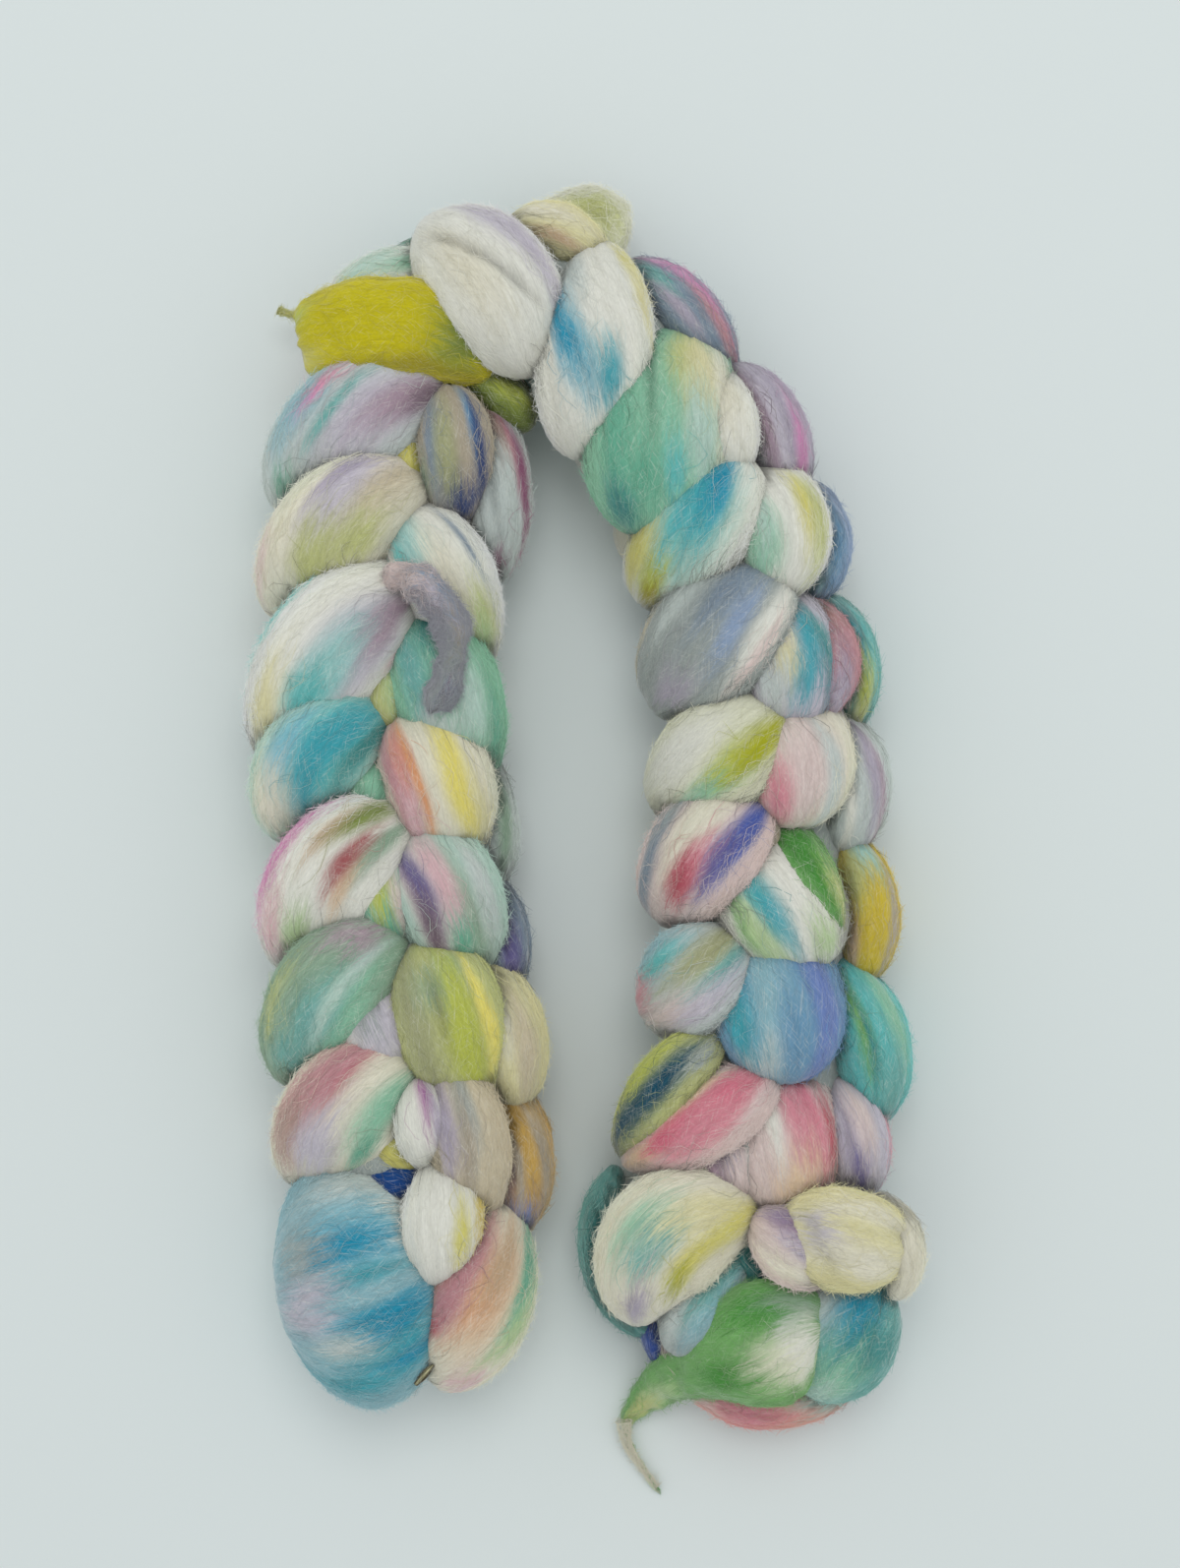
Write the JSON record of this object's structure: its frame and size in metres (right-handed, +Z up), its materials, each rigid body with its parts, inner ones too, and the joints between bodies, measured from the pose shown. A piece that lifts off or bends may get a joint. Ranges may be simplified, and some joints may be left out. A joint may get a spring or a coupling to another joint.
{
  "type": "braid of wool roving",
  "caption": "Hand-dyed combed wool top, chained by hand into a fat soft braid and laid in an upside-down U, with its loose ends showing.",
  "frame": {"origin": "under the middle of the whole object's box, on the surface that the braid lies on", "axes": "+Z up, +Y from the braid's two ends to its bend, +X from the left leg to the right leg"},
  "size_m": [0.1916, 0.3816, 0.0525],
  "materials": {
    "dyed_wool": "matt combed wool, dyed by hand in soft patches of aqua, green, yellow, pink, violet and blue on undyed white",
    "yellow_wool": "matt combed wool, strong yellow",
    "green_wool": "matt combed wool, leaf green fading to white",
    "pale_wool": "matt combed wool, pale yellow-green",
    "lilac_wool": "matt combed wool, grey-lilac"
  },
  "bodies": {
    "root": {"braid": "dyed_wool", "yellow_end": "yellow_wool", "green_tail": "green_wool", "pale_tuft": "pale_wool", "lilac_lock": "lilac_wool"}
  },
  "joints": []
}
